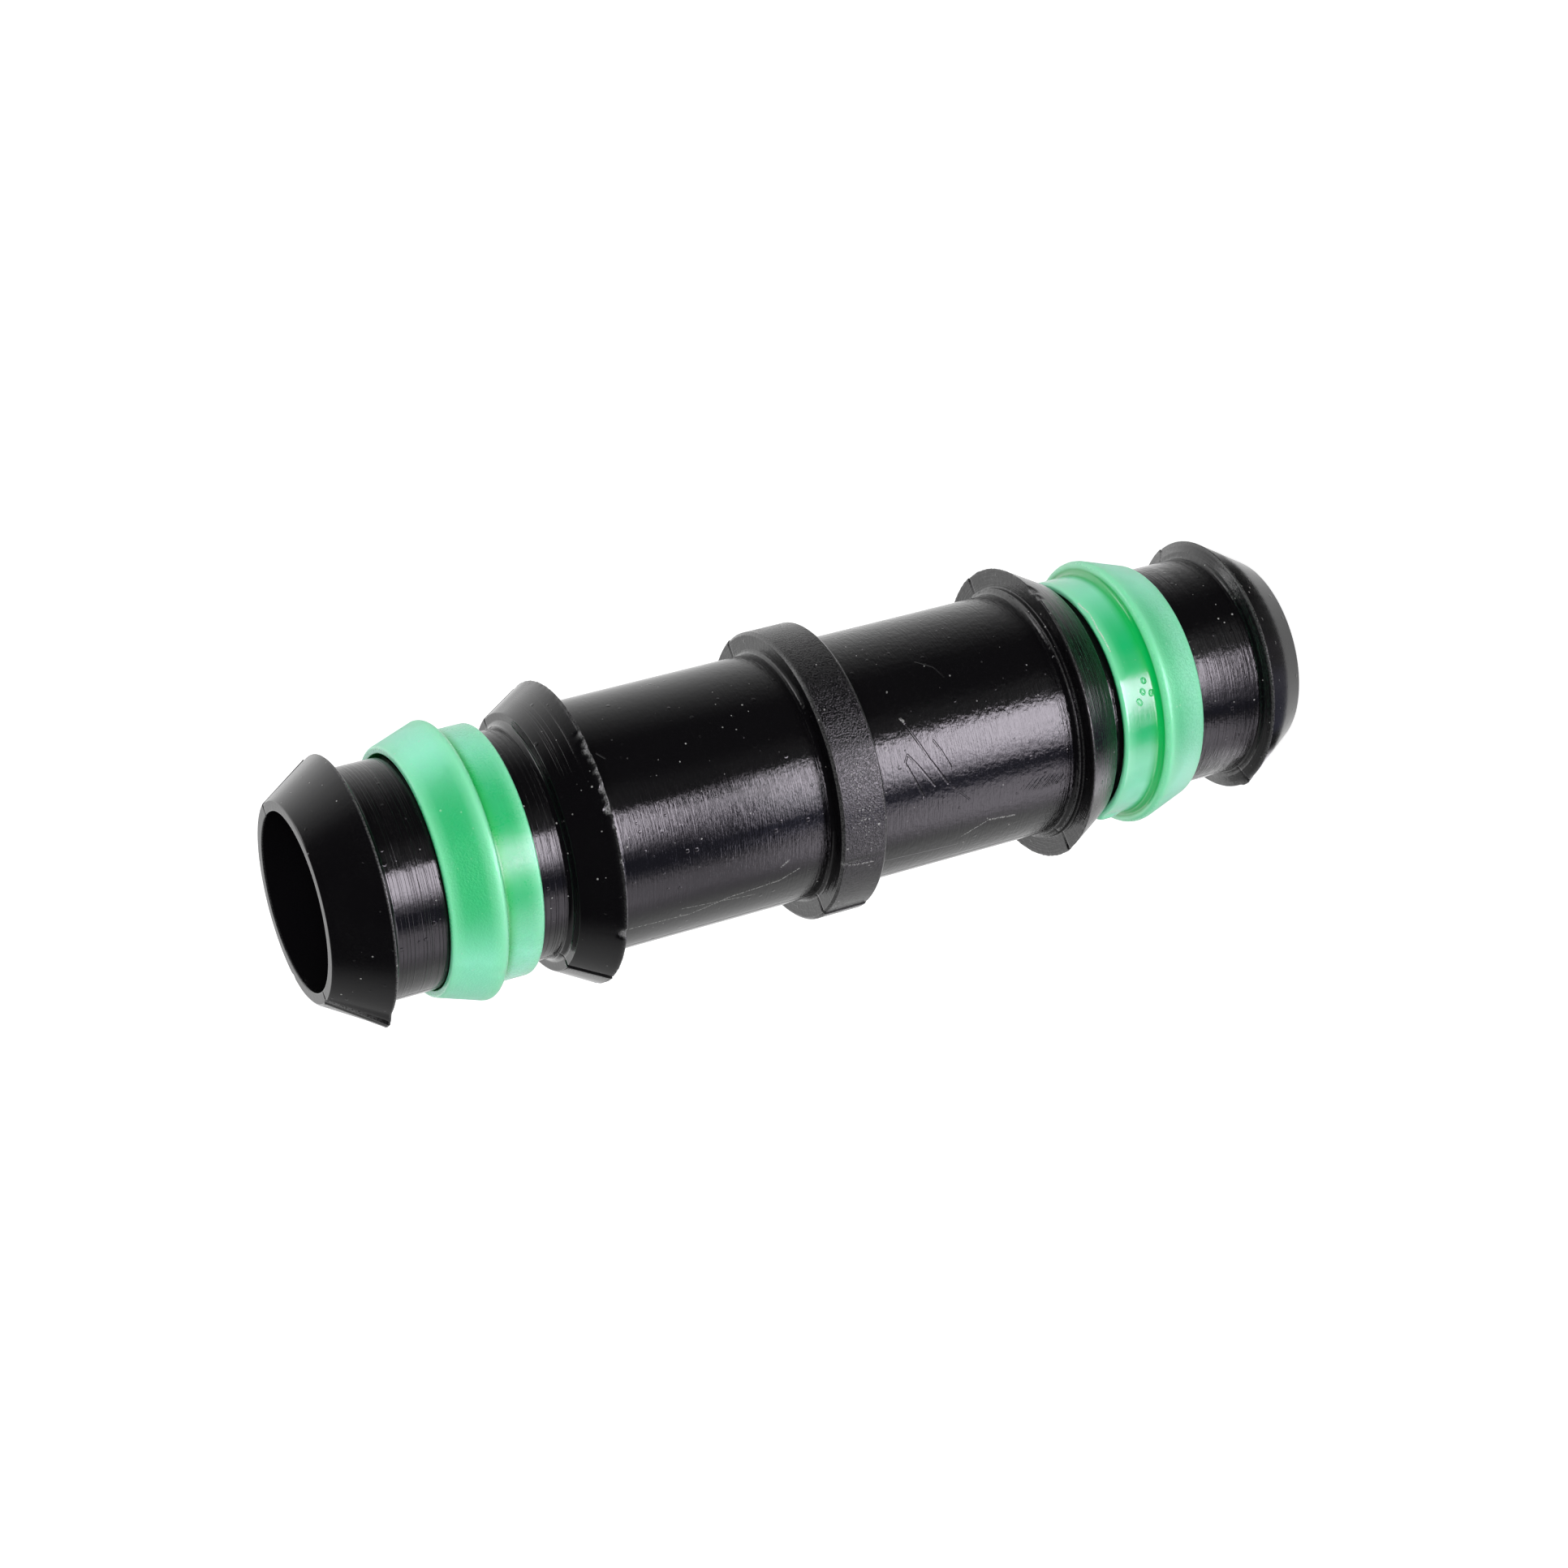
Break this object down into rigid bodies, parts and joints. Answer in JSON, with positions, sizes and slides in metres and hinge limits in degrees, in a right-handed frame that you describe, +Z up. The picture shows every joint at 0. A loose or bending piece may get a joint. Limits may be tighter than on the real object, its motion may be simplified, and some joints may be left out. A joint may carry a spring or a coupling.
{
  "type": "barbed pipe coupling",
  "caption": "Straight barbed coupling with a through bore and a centre collar, and a loose locking ring on each neck, for joining two soft pipes.",
  "frame": {"origin": "centre of the lower end face, on the surface that the coupling stands on", "axes": "+Z up along the bore; the two mould halves meet in the plane Y = 0, and the half on the +Y side stands proud at the parting line"},
  "size_m": [0.017, 0.0169, 0.0594],
  "materials": {
    "black_moulding": "black polyolefin moulding, glossy tube and matte nose cones, with turning marks and scratches",
    "green_ring": "soft emerald green plastic, slightly translucent, satin"
  },
  "bodies": {
    "coupling": {"body": "black_moulding"},
    "top_ring": {"top_ring": "green_ring"},
    "bottom_ring": {"bottom_ring": "green_ring"}
  },
  "joints": [
    {"name": "top_ring_slide", "type": "slide", "parent": "coupling", "child": "top_ring", "axis": [0, 0, 1], "range_m": [-0.0018, 0.00288]},
    {"name": "bottom_ring_slide", "type": "slide", "parent": "coupling", "child": "bottom_ring", "axis": [0, 0, 1], "range_m": [-0.00402, 0.00066]}
  ]
}
